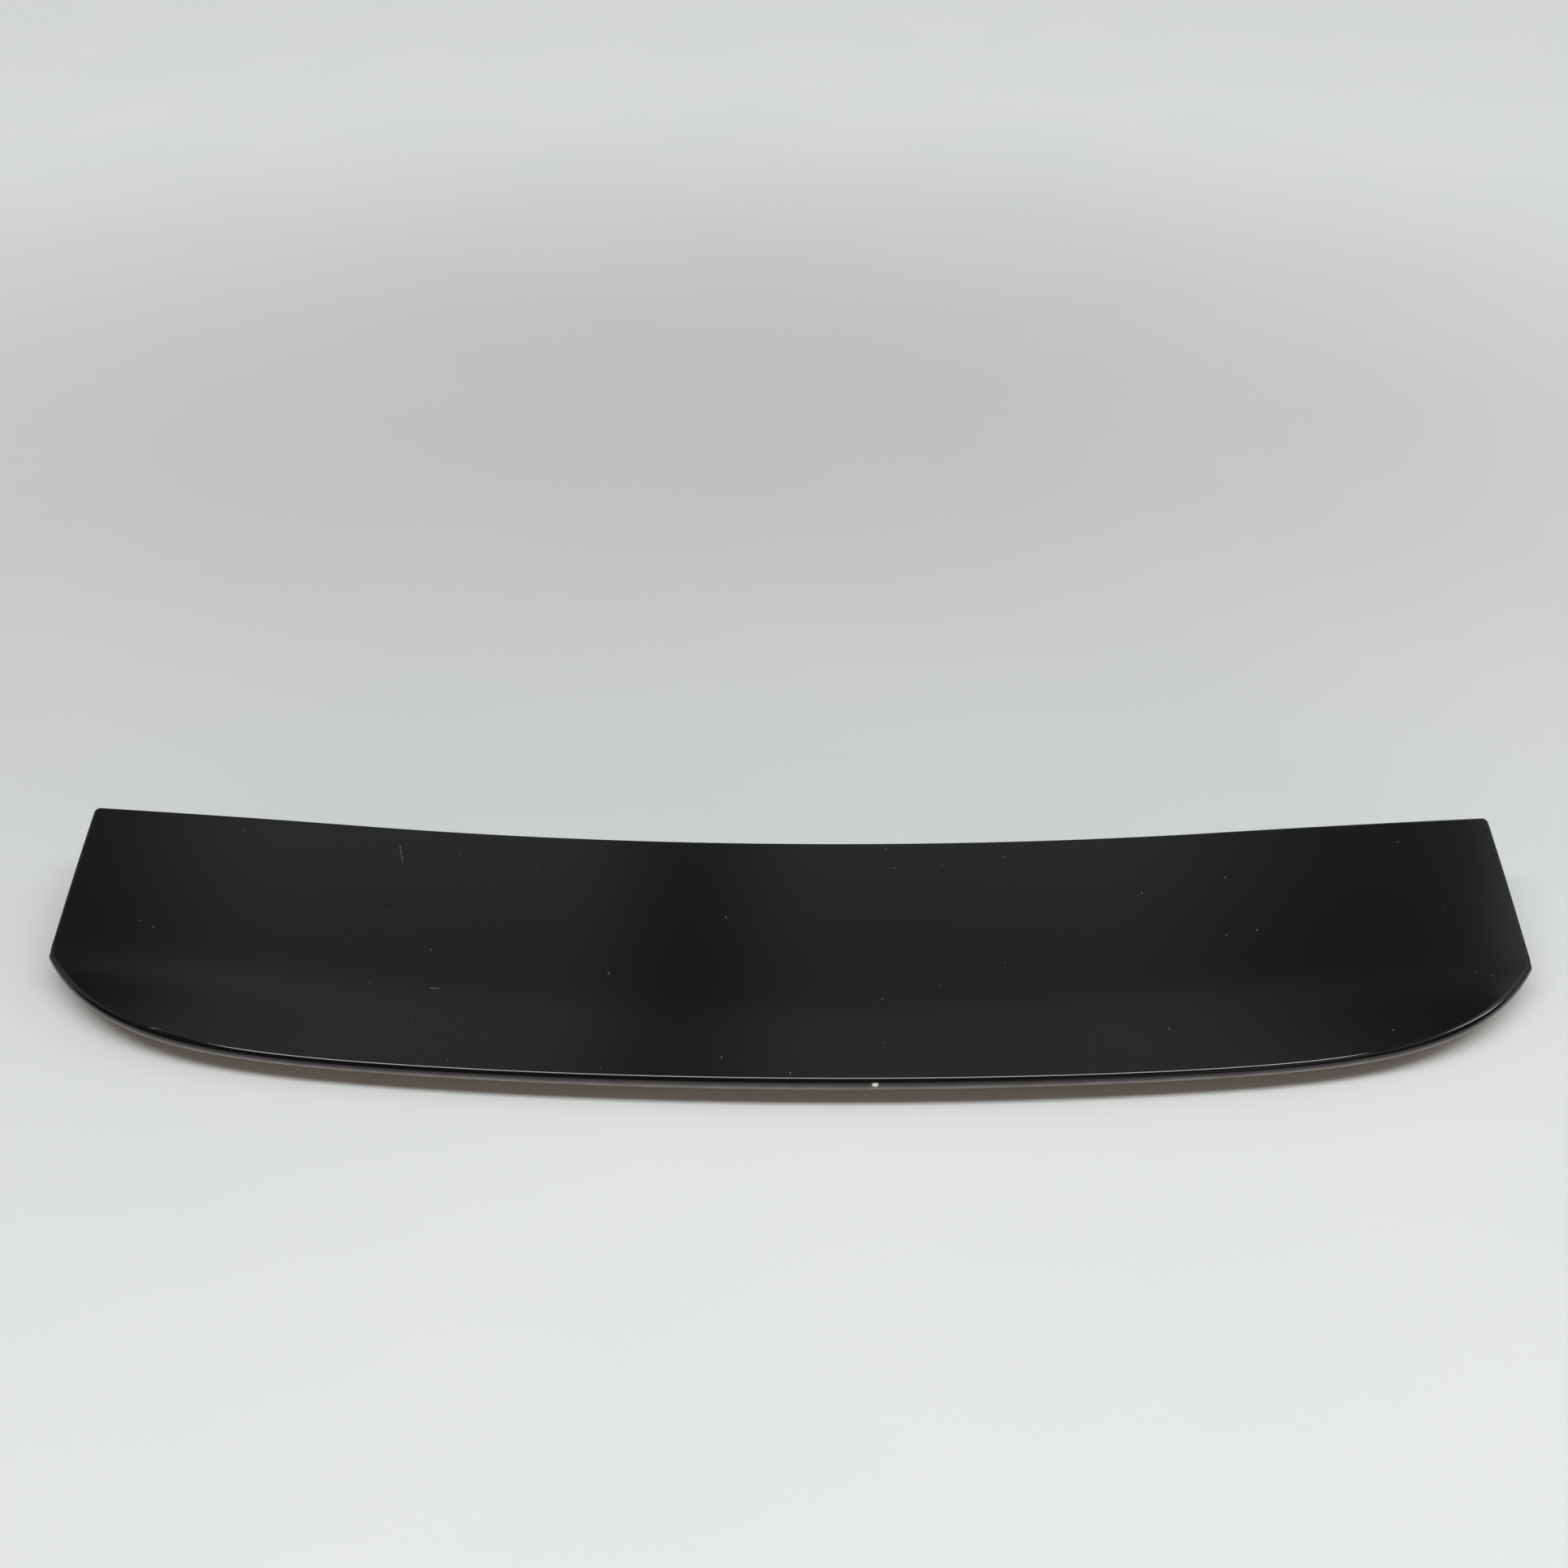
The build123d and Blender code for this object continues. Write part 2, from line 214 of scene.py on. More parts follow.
roll_turn = np.linspace(0, 1, ROLL_STEPS + 1)[:, None]
roll_angle = lean + (np.pi / 2 - lean) * roll_turn
roll_out = edge_radius * np.sin(roll_angle) - edge_radius
roll_z = roll_centre + edge_radius * np.cos(roll_angle)
down = np.linspace(0, 1, WALL_STEPS + 1)[1:, None]
wall_z = roll_centre + (lower + lower_radius - roll_centre) * down
quarter = np.linspace(0, np.pi / 2, LOWER_ROLL_STEPS + 1)[1:, None]
lower_out = lower_radius * (np.cos(quarter) - 1)
lower_z = lower + lower_radius * (1 - np.sin(quarter))
row_out = np.concatenate([roll_out, np.zeros_like(wall_z), lower_out])
row_z = np.concatenate([roll_z, wall_z, lower_z])
row_plan = loop + loop_normal * row_out[:, :, None]
outer_rows = np.concatenate([row_plan, row_z[:, :, None]], axis=2)
print("outer edge rows by columns:", outer_rows.shape[:2])

# %% Inner edge rows
SKIN_WALL = 3.0
SKIN_DROP = 3.26
LIP_RETURN = 22.0
RETURN_CLEARANCE = 1.0
FOOT_STEP = 0.5


def placed(points, heights):
    """Plan points and their heights as points in space."""
    return np.concatenate([points, heights[:, None]], axis=1)


inside = loop - loop_normal * SKIN_WALL
mouth_y = np.maximum(inside[:, 1], lip_line(inside[:, 0]) + LIP_RETURN)
mouth = np.stack([inside[:, 0], mouth_y], axis=1)
mouth_z = under_height(*mouth.T)
ceiling_z = top_height(*inside.T) - SKIN_DROP
return_z = np.minimum(mouth_z + SKIN_WALL, ceiling_z - RETURN_CLEARANCE)
foot_z = np.minimum(under_height(*inside.T) + SKIN_WALL + FOOT_STEP, ceiling_z - FOOT_STEP)
return_rows = [placed(mouth, mouth_z), placed(mouth, return_z)]
wall_rows = [placed(inside, foot_z), placed(inside, ceiling_z)]
edge_rows = np.concatenate([outer_rows, np.stack(return_rows + wall_rows)])
print("all edge rows by columns:", edge_rows.shape[:2])

# %% [markdown]
# ## The top as a patch between four borders
# A patch that is blended from its four border lines (a Coons patch) follows the bowed front and the
# swept lip with no wasted faces, and its height comes straight from the rule for the top. Blender's
# own grid fill would do the plan, but not the exact height.

# %% Patch helpers
LIP_SIDE = 2 * (LIP_STEPS + CORNER_STEPS)
END_SIDE = END_STEPS + 2 * CORNER_STEPS


def border_columns():
    """Outline columns of the four borders: lip, right end, leading edge and left end."""
    total = len(loop)
    lip_end = LIP_SIDE // 2
    end_end = lip_end + END_SIDE
    lip_columns = np.arange(-lip_end, lip_end + 1) % total
    right = np.arange(lip_end, end_end + 1)
    front_columns = np.arange(end_end, end_end + LIP_SIDE + 1)[::-1]
    left = np.arange(total - end_end, total - lip_end + 1)[::-1] % total
    return lip_columns, right, front_columns, left


def patch_plan(border):
    """Plan points inside a border loop: the blend of opposite borders, less the blend of corners."""
    lip_columns, right, front_columns, left = border_columns()
    across = np.linspace(0, 1, LIP_SIDE + 1)[None, :, None]
    along = np.linspace(0, 1, END_SIDE + 1)[:, None, None]
    low = border[lip_columns][None]
    high = border[front_columns][None]
    near = border[left][:, None]
    far = border[right][:, None]
    ruled = (1 - along) * low + along * high + (1 - across) * near + across * far
    corners = (1 - along) * ((1 - across) * low[:, :1] + across * low[:, -1:])
    corners = corners + along * ((1 - across) * high[:, :1] + across * high[:, -1:])
    return ruled - corners


def grid_faces(index):
    """Four-sided faces of a grid of vertex numbers, anticlockwise as rows go up and columns right."""
    corners = (index[:-1, :-1], index[:-1, 1:], index[1:, 1:], index[1:, :-1])
    return np.stack(corners, axis=-1).reshape(-1, 4)


def patch_index(first_inner, ring_start):
    """Vertex numbers of a patch: the ring's own vertices on its border, new ones inside."""
    lip_columns, right, front_columns, left = border_columns()
    index = np.empty((END_SIDE + 1, LIP_SIDE + 1), dtype=np.int64)
    inner_count = (END_SIDE - 1) * (LIP_SIDE - 1)
    index[1:-1, 1:-1] = first_inner + np.arange(inner_count).reshape(END_SIDE - 1, -1)
    index[0] = ring_start + lip_columns
    index[-1] = ring_start + front_columns
    index[:, 0] = ring_start + left
    index[:, -1] = ring_start + right
    return index


print("patch rows and columns:", END_SIDE + 1, LIP_SIDE + 1)

# %% [markdown]
# ## One closed mesh
# The edge rows, the top patch and the ceiling inside share their border vertices, so the skin is one
# watertight shell. Doubled points, such as those at a pole, are merged. A weight on the vertices says
# how far down the lip a point lies, because a painted reflection of the floor is laid on there,
# lighter further down.

# %% Skin mesh
MERGE_DISTANCE = 1e-6
SKIN_SHARP = np.radians(40)
LIP_REFLECTION_FROM = 0.30
LIP_REFLECTION_TO = 0.74
LIP_REFLECTION_POWER = 2


def new_piece(name, vertices, faces, sharp_angle, weights=None):
    """Mesh object at the origin, smooth but for edges sharper than the angle, from points in mm."""
    mesh = bpy.data.meshes.new(name)
    mesh.from_pydata(vertices * MM, [], faces.tolist())
    for label, values in (weights or {}).items():
        mesh.attributes.new(label, "FLOAT", "POINT").data.foreach_set("value", values)
    shape = bmesh.new()
    shape.from_mesh(mesh)
    bmesh.ops.remove_doubles(shape, verts=shape.verts, dist=MERGE_DISTANCE)
    shape.to_mesh(mesh)
    shape.free()
    mesh.validate()
    mesh.polygons.foreach_set("use_smooth", np.ones(len(mesh.polygons), dtype=bool))
    mesh.set_sharp_from_angle(angle=sharp_angle)
    piece = bpy.data.objects.new(name, mesh)
    bpy.context.scene.collection.objects.link(piece)
    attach(piece, BODY)
    print(name, "faces:", len(mesh.polygons))
    return piece


rows, columns = edge_rows.shape[:2]
ring_number = np.arange(rows * columns).reshape(rows, columns)
closed_ring = np.concatenate([ring_number, ring_number[:, :1]], axis=1)
ring_faces = grid_faces(closed_ring)[:, ::-1]
top_plan = patch_plan(tangent_points)[1:-1, 1:-1].reshape(-1, 2)
ceiling_plan = patch_plan(inside)[1:-1, 1:-1].reshape(-1, 2)
top_points = placed(top_plan, top_height(*top_plan.T))
ceiling_points = placed(ceiling_plan, top_height(*ceiling_plan.T) - SKIN_DROP)
top_faces = grid_faces(patch_index(rows * columns, 0))
ceiling_start = rows * columns + len(top_points)
ceiling_faces = grid_faces(patch_index(ceiling_start, (rows - 1) * columns))[:, ::-1]
skin_points = np.concatenate([edge_rows.reshape(-1, 3), top_points, ceiling_points])
skin_faces = np.concatenate([ring_faces, top_faces, ceiling_faces])

# Painted reflection: a weight that grows down the lower roll of the lip, as the floor's reflection
# would.
edge_share = np.linspace(0, 1, len(outer_rows))[:, None]
reflection_share = np.clip((edge_share - LIP_REFLECTION_FROM) / (LIP_REFLECTION_TO - LIP_REFLECTION_FROM), 0, 1)
lip_reflection_weight = reflection_share**LIP_REFLECTION_POWER * on_lip
lip_reflection_vertex_weight = np.zeros(len(skin_points), dtype=np.float32)
lip_reflection_vertex_weight[: lip_reflection_weight.size] = lip_reflection_weight.ravel()
skin = new_piece("painted_skin", skin_points, skin_faces, SKIN_SHARP, {"painted_lip_reflection": lip_reflection_vertex_weight})
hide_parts("outer_skin")

# %% [markdown]
# ## Threaded studs
# The four studs stand out of the underside: a square head held inside the panel, a plain neck and a
# metric thread. A screw modifier could wind a thread, but a radius that rises and falls with height
# less the share of the turn is a helix already, and square and round sections share one angle grid.

# %% Stud surface
STUD_PLACES = np.array([(-400.0, -45.0), (400.0, -45.0), (-400.0, 45.0), (400.0, 45.0)])
STUD_TIP = -13.5
STUD_RADIUS = 3.0
THREAD_PITCH = 1.0
THREAD_DEPTH = 0.55
TIP_LENGTH = 0.8
TIP_CUT = 0.6
NECK_RADIUS = 4.5
NECK_FOOT = 3.5
HEAD_FOOT = 8.5
HEAD_TOP = 11.0
HEAD_HALF = 7.5
HEAD_BREAK = 0.4
STUD_ANGLES = 32
THREAD_ROWS = 136
STUD_SHARP = np.radians(35)


def stud_rows():
    """Rows of one stud: angle by height. The thread's radius falls by a triangle wave of (height over
    pitch, less turn share); the head's radius is the half width over the larger of cosine and sine."""
    angle = np.linspace(0, 2 * np.pi, STUD_ANGLES, endpoint=False)[None, :]
    z = np.linspace(STUD_TIP, NECK_FOOT, THREAD_ROWS)[:, None]
    wave = np.abs(((z / THREAD_PITCH - angle / (2 * np.pi)) % 1.0) * 2 - 1)
    start = np.clip((z - STUD_TIP) / TIP_LENGTH, 0, 1)
    thread = STUD_RADIUS - THREAD_DEPTH * wave - TIP_CUT * (1 - start)
    square = HEAD_HALF / np.maximum(np.abs(np.cos(angle)), np.abs(np.sin(angle)))
    neck = np.full_like(angle, NECK_RADIUS)
    pole = np.zeros_like(angle)
    upper = [neck, neck, square, square, square - HEAD_BREAK, pole]
    upper_z = [NECK_FOOT, HEAD_FOOT, HEAD_FOOT, HEAD_TOP - HEAD_BREAK, HEAD_TOP, HEAD_TOP]
    radius = np.concatenate([pole, thread] + upper)
    height = np.concatenate([[[STUD_TIP]], z, np.array(upper_z)[:, None]])
    return np.stack([radius * np.cos(angle), radius * np.sin(angle), height + 0 * radius], axis=2)


one_stud = stud_rows()
stud_shape = one_stud.shape[:2]
stud_size = stud_shape[0] * stud_shape[1]
offsets = placed(STUD_PLACES, np.zeros(len(STUD_PLACES)))
all_studs = (offsets[:, None, None, :] + one_stud[None]).reshape(-1, 3)
stud_number = np.arange(stud_size).reshape(stud_shape)
stud_number = np.concatenate([stud_number, stud_number[:, :1]], axis=1)
stud_first = np.arange(len(STUD_PLACES))[:, None, None] * stud_size
all_stud_faces = (grid_faces(stud_number)[None] + stud_first).reshape(-1, 4)
studs = new_piece("threaded_studs", all_studs, all_stud_faces, STUD_SHARP)
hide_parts("mounting_studs")

# %% [markdown]
# ## Helpers for shader nodes
# A finish in Blender is a tree of nodes. Making each one takes three or four lines, so a few helpers
# keep the finishes below readable: one makes a node and links what it is given, the others wrap the
# nodes that are used most.

# %% Node helpers
MIX_FACTOR, MIX_FIRST, MIX_SECOND, MIX_RESULT = 0, 6, 7, 2


def node(tree, kind, inputs=None, **settings):
    """One shader node with its settings; inputs are values or sockets to link."""
    made = tree.nodes.new(kind)
    for key, value in settings.items():
        setattr(made, key, value)
    for key, value in (inputs or {}).items():
        if isinstance(value, bpy.types.NodeSocket):
            tree.links.new(value, made.inputs[key])
        else:
            made.inputs[key].default_value = value
    return made


def math(tree, operation, *values):
    """Result socket of a Math node."""
    return node(tree, "ShaderNodeMath", dict(enumerate(values)), operation=operation).outputs[0]


def ramp(tree, value, low, high, out_low=0.0, out_high=1.0):
    """Result of a smooth Map Range from one span to another."""
    spans = {"From Min": low, "From Max": high, "To Min": out_low, "To Max": out_high}
    inputs = {"Value": value, **spans}
    made = node(tree, "ShaderNodeMapRange", inputs, interpolation_type="SMOOTHSTEP")
    return made.outputs["Result"]


def noise(tree, vector, scale, **inputs):
    """Value of a Noise Texture."""
    values = {"Vector": vector, "Scale": scale, **inputs}
    return node(tree, "ShaderNodeTexNoise", values).outputs["Fac"]


def vector_math(tree, operation, *values):
    """Vector Math node."""
    return node(tree, "ShaderNodeVectorMath", dict(enumerate(values)), operation=operation)


def mix_colour(tree, factor, first, second):
    """Colour between two, by a factor."""
    inputs = {MIX_FACTOR: factor, MIX_FIRST: first, MIX_SECOND: second}
    return node(tree, "ShaderNodeMix", inputs, data_type="RGBA").outputs[MIX_RESULT]


def new_group(name, inputs, outputs):
    """Empty node group with float or vector sockets, and its input sockets and output node."""
    tree = bpy.data.node_groups.new(name, "ShaderNodeTree")
    for label, kind in inputs.items():
        tree.interface.new_socket(label, in_out="INPUT", socket_type=kind)
    for label in outputs:
        tree.interface.new_socket(label, in_out="OUTPUT", socket_type=FLOAT)
    return tree, tree.nodes.new("NodeGroupInput").outputs, tree.nodes.new("NodeGroupOutput")


def use_group(tree, group, **inputs):
    """Group node in a material, with values or links for its inputs."""
    return node(tree, "ShaderNodeGroup", inputs, node_tree=group)


FLOAT, VECTOR = "NodeSocketFloat", "NodeSocketVector"
print("node helpers ready")

# %% [markdown]
# ## Dust
# Dust turns up on the paint and on the plastic, so it is a node group that puts out a mask. Each cell
# of a Voronoi texture holds one speck at most: a chance decides whether it is there, and a second one
# its size. Loose particles would look the same from here and cost far more.

# %% Dust specks
SMALLEST_SPECK = 0.4
SPECK_SOFTNESS = 0.6
speck_inputs = {"Vector": VECTOR, "Scale": FLOAT, "Size": FLOAT, "Share": FLOAT}
dust_specks, given, group_out = new_group("dust_specks", speck_inputs, ["Mask"])
cell_inputs = {"Vector": given["Vector"], "Scale": given["Scale"]}
cells = node(dust_specks, "ShaderNodeTexVoronoi", cell_inputs).outputs
chance = node(dust_specks, "ShaderNodeSeparateColor", {"Color": cells["Color"]}).outputs
kept = math(dust_specks, "LESS_THAN", chance["Red"], given["Share"])
size_share = math(dust_specks, "ADD", chance["Green"], SMALLEST_SPECK)
reach = math(dust_specks, "MULTIPLY", given["Size"], size_share)
nearness = math(dust_specks, "SUBTRACT", 1.0, math(dust_specks, "DIVIDE", cells["Distance"], reach))
speck = math(dust_specks, "MULTIPLY", ramp(dust_specks, nearness, 0.0, SPECK_SOFTNESS), kept)
dust_specks.links.new(speck, group_out.inputs["Mask"])
print("group:", dust_specks.name)

# %% [markdown]
# ## Grain
# Moulded plastic, foam and plated steel all have a fine grain, each at its own scale. The group puts
# out a height of small pebbles for the bump and a slow cloud mask for tone and roughness.

# %% Fine grain
CLOUD_SHARE = 0.06
grain_inputs = {"Vector": VECTOR, "Scale": FLOAT}
fine_grain, given, group_out = new_group("fine_grain", grain_inputs, ["Height", "Mask"])
pebble_inputs = {"Vector": given["Vector"], "Scale": given["Scale"]}
pebbles = node(fine_grain, "ShaderNodeTexVoronoi", pebble_inputs, feature="SMOOTH_F1").outputs
cloud_scale = math(fine_grain, "MULTIPLY", given["Scale"], CLOUD_SHARE)
fine_grain.links.new(pebbles["Distance"], group_out.inputs["Height"])
fine_grain.links.new(noise(fine_grain, given["Vector"], cloud_scale), group_out.inputs["Mask"])
print("group:", fine_grain.name)

# %% [markdown]
# ## Scratches
# A scratch is a short line on the surface: the distance from its middle is turned to lie along it,
# the part across it gives the width and the part along it the ends. A noise makes it wander and break.

# %% Scratch
WANDER_SCALE = 900.0
WANDER_DETAIL = 4.0
WANDER_MIDDLE = 0.5
LINE_EDGE = (1.0, 0.3)
END_FADE = (0.5, 0.3)
LINE_BREAKS = (0.38, 0.55)
scratch_inputs = {"Vector": VECTOR, "Middle": VECTOR, "Turn": FLOAT, "Length": FLOAT, "Width": FLOAT}
scratch, given, group_out = new_group("scratch", scratch_inputs, ["Mask"])
offset = vector_math(scratch, "SUBTRACT", given["Vector"], given["Middle"]).outputs[0]
turn_inputs = {"Vector": offset, "Angle": given["Turn"]}
turned = node(scratch, "ShaderNodeVectorRotate", turn_inputs, rotation_type="Z_AXIS").outputs[0]
parts = node(scratch, "ShaderNodeSeparateXYZ", {0: turned}).outputs
wander = noise(scratch, given["Vector"], WANDER_SCALE, Detail=WANDER_DETAIL)
sway = math(scratch, "MULTIPLY", math(scratch, "SUBTRACT", wander, WANDER_MIDDLE), given["Width"])
across = math(scratch, "ABSOLUTE", math(scratch, "ADD", parts["Y"], sway))
along = math(scratch, "DIVIDE", math(scratch, "ABSOLUTE", parts["X"]), given["Length"])
line = ramp(scratch, math(scratch, "DIVIDE", across, given["Width"]), *LINE_EDGE)
ended = math(scratch, "MULTIPLY", line, ramp(scratch, along, *END_FADE))
broken = math(scratch, "MULTIPLY", ended, ramp(scratch, wander, *LINE_BREAKS))
scratch.links.new(broken, group_out.inputs["Mask"])
print("group:", scratch.name)

# %% [markdown]
# ## Gloss black paint
# The skin is black plastic under clear lacquer. Nearly all that one sees on it is a reflection, so
# the colour is almost black and the lacquer is sharp, with the slow waviness that sprayed lacquer has.
# What lies on it is small: dust, a few scratches, and one chip low on the lip that shows the pale
# primer. Low on the lip a grey band is also painted into the colour, patchy and lighter further down:
# a painted reflection of the floor, with a little more roughness there. All of it is laid on Object
# coordinates, so it stays where it is.

# %% Marks on the paint
COARSE_DUST = {"Scale": 160.0, "Size": 0.13, "Share": 0.05}
FINE_DUST = {"Scale": 700.0, "Size": 0.16, "Share": 0.10}
HAZE_SCALE = 9.0
HAZE_DETAIL = 5.0
FILM_SHARE = (0.45, 0.7, 0.05, 0.45)
SCRATCHES = (
    {"Middle": (-0.3105, 0.0737, 0.068), "Turn": 1.29, "Length": 0.020, "Width": 0.0006},
    {"Middle": (-0.4729, -0.0711, 0.014), "Turn": 0.25, "Length": 0.012, "Width": 0.0006},
    {"Middle": (-0.2683, -0.0404, 0.0285), "Turn": 0.10, "Length": 0.009, "Width": 0.0005},
)
SCRATCH_STRENGTH = 0.9
CHIP = (0.0617, -0.1192, 0.0099)
CHIP_STRETCH = (1.0, 1.0, 1.3)
CHIP_EDGE = (0.0042, 0.0034)
CHIP_RAGGED_SCALE = 700.0
CHIP_RAGGED = 0.003
LIP_REFLECTION_PATCH_SCALE = 60.0
LIP_REFLECTION_PATCH_DETAIL = 3.0
LIP_REFLECTION_PATCH_SHARE = (0.2, 0.7, 0.6, 1.0)


def new_material(name):
    """Material with a Principled shader, and Object coordinates to lay patterns on."""
    made = bpy.data.materials.new(name)
    made.use_nodes = True
    tree = made.node_tree
    place = node(tree, "ShaderNodeTexCoord").outputs["Object"]
    return made, tree, tree.nodes["Principled BSDF"], place


paint, tree, lacquer, place = new_material("gloss_black_paint")
specks = use_group(tree, dust_specks, Vector=place, **COARSE_DUST).outputs["Mask"]
fine_dust = use_group(tree, dust_specks, Vector=place, **FINE_DUST).outputs["Mask"]
haze = noise(tree, place, HAZE_SCALE, Detail=HAZE_DETAIL)
film = math(tree, "MULTIPLY", fine_dust, ramp(tree, haze, *FILM_SHARE))
marks = math(tree, "MAXIMUM", specks, film)
for sizes in SCRATCHES:
    mark = use_group(tree, scratch, Vector=place, **sizes).outputs["Mask"]
    marks = math(tree, "MAXIMUM", marks, math(tree, "MULTIPLY", mark, SCRATCH_STRENGTH))
off_chip = vector_math(tree, "SUBTRACT", place, CHIP).outputs[0]
off_chip = vector_math(tree, "MULTIPLY", off_chip, CHIP_STRETCH).outputs[0]
from_chip = vector_math(tree, "LENGTH", off_chip).outputs["Value"]
ragged = math(tree, "MULTIPLY", noise(tree, place, CHIP_RAGGED_SCALE), CHIP_RAGGED)
chip = ramp(tree, math(tree, "ADD", from_chip, ragged), *CHIP_EDGE)
# Painted reflection of the floor low on the lip, broken into patches.
painted_lip_reflection = node(tree, "ShaderNodeAttribute", attribute_name="painted_lip_reflection").outputs["Fac"]
reflection_patches = ramp(tree, noise(tree, place, LIP_REFLECTION_PATCH_SCALE, Detail=LIP_REFLECTION_PATCH_DETAIL), *LIP_REFLECTION_PATCH_SHARE)
painted_reflection = math(tree, "MULTIPLY", painted_lip_reflection, reflection_patches)
print("marks on the paint:", len(SCRATCHES), "scratches, one chip, dust and a dull edge")

# %% Paint
BLACK = (0.0040, 0.0042, 0.0046, 1.0)
DUST_COLOUR = (0.085, 0.087, 0.087, 1.0)
# Grey of the painted reflection low on the lip.
PAINTED_REFLECTION_COLOUR = (0.22, 0.215, 0.22, 1.0)
PRIMER = (0.62, 0.62, 0.60, 1.0)
DUST_DULLS = 0.4
CHIP_DULLS = 0.6
PAINTED_REFLECTION_DULLS = 0.35
GLOSS = (0.3, 0.8, 0.05, 0.09)
WAVE_SCALE = 220.0
WAVE_DETAIL = 1.0
WAVE_HEIGHT = 0.02
PAINT_BUMP = {"Strength": 0.15, "Distance": 0.0004}
LACQUER_IOR = 1.5

dusty = mix_colour(tree, marks, BLACK, DUST_COLOUR)
# The grey of the painted reflection is mixed into the paint colour here.
with_reflection = mix_colour(tree, painted_reflection, dusty, PAINTED_REFLECTION_COLOUR)
tree.links.new(mix_colour(tree, chip, with_reflection, PRIMER), lacquer.inputs["Base Color"])
marks_dull = math(tree, "MULTIPLY", marks, DUST_DULLS)
dull = math(tree, "MAXIMUM", marks_dull, math(tree, "MULTIPLY", chip, CHIP_DULLS))
dull = math(tree, "MAXIMUM", dull, math(tree, "MULTIPLY", painted_reflection, PAINTED_REFLECTION_DULLS))
tree.links.new(math(tree, "ADD", dull, ramp(tree, haze, *GLOSS)), lacquer.inputs["Roughness"])
waviness = noise(tree, place, WAVE_SCALE, Detail=WAVE_DETAIL)
height = math(tree, "SUBTRACT", math(tree, "MULTIPLY", waviness, WAVE_HEIGHT), chip)
bump = node(tree, "ShaderNodeBump", {"Height": height, **PAINT_BUMP})
tree.links.new(bump.outputs["Normal"], lacquer.inputs["Normal"])
lacquer.inputs["IOR"].default_value = LACQUER_IOR
skin.data.materials.append(paint)
print("finish:", paint.name)

# %% [markdown]
# ## Grained plastic, foam and plated steel
# Underneath, nothing is polished: the panel is moulded black plastic with a leather-like grain, the
# gaskets and seals are closed-cell foam, the studs are bright zinc plate and the clips blued spring
# strip. The grain group gives all of them their variation, each at its own scale, so one function
# builds the four finishes.

# %% Underside finishes
GRAIN_SPREAD = (0.2, 0.8)
PANEL_DUST = {"Scale": 260.0, "Size": 0.09, "Share": 0.10}
PANEL_DUST_COLOUR = (0.11, 0.11, 0.105, 1.0)


def grained_finish(name, scale, tone_from, tones, roughness, metallic, bump, dust):
    """Finish whose tone follows one output of the grain group and whose roughness follows its cloud
    mask, from the first value to the second; bump and dust are settings of their own, or None."""
    made, tree, shader, place = new_material(name)
    grain = use_group(tree, fine_grain, Vector=place, Scale=scale).outputs
    tone = mix_colour(tree, grain[tone_from], *tones)
    if dust:
        specks = use_group(tree, dust_specks, Vector=place, **dust).outputs["Mask"]
        tone = mix_colour(tree, specks, tone, PANEL_DUST_COLOUR)
    tree.links.new(tone, shader.inputs["Base Color"])
    rough = ramp(tree, grain["Mask"], *GRAIN_SPREAD, *roughness)
    tree.links.new(rough, shader.inputs["Roughness"])
    shader.inputs["Metallic"].default_value = metallic
    if bump:
        bumped = node(tree, "ShaderNodeBump", {"Height": grain["Height"], **bump})
        tree.links.new(bumped.outputs["Normal"], shader.inputs["Normal"])
    return made


def dress(piece, material):
    """Gives a piece one material in place of what it has."""
    piece.data.materials.clear()
    piece.data.materials.append(material)


plastic = grained_finish(
    "grained_black_plastic",
    scale=900.0,
    tone_from="Mask",
    tones=((0.028, 0.028, 0.029, 1.0), (0.046, 0.046, 0.047, 1.0)),
    roughness=(0.48, 0.66),
    metallic=0.0,
    bump={"Strength": 0.35, "Distance": 0.0004},
    dust=PANEL_DUST,
)
dress(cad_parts["inner_panel"], plastic)

foam = grained_finish(
    "black_foam",
    scale=1500.0,
    tone_from="Height",
    tones=((0.010, 0.010, 0.010, 1.0), (0.034, 0.034, 0.035, 1.0)),
    roughness=(0.82, 0.98),
    metallic=0.0,
    bump={"Strength": 0.8, "Distance": 0.0006},
    dust=None,
)
for name in ("stud_gaskets", "edge_seal", "end_pads"):
    dress(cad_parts[name], foam)

zinc = grained_finish(
    "zinc_steel",
    scale=2200.0,
    tone_from="Mask",
    tones=((0.50, 0.51, 0.53, 1.0), (0.68, 0.68, 0.67, 1.0)),
    roughness=(0.24, 0.40),
    metallic=1.0,
    bump={"Strength": 0.1, "Distance": 0.0002},
    dust=None,
)
dress(studs, zinc)

spring = grained_finish(
    "spring_steel",
    scale=1800.0,
    tone_from="Mask",
    tones=((0.10, 0.10, 0.11, 1.0), (0.20, 0.20, 0.21, 1.0)),
    roughness=(0.30, 0.46),
    metallic=1.0,
    bump=None,
    dust=None,
)
dress(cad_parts["retaining_clips"], spring)
print("finishes:", plastic.name, foam.name, zinc.name, spring.name)

# %% [markdown]
# ## Floor
# The part rests on the tips of its studs on a plain pale floor. Far from the part the lamps fade, so
# there the floor glows a little for the camera and for reflections, which keeps the background even
# and adds no light to the part. From below the floor is clear, so that the underside can be looked at.

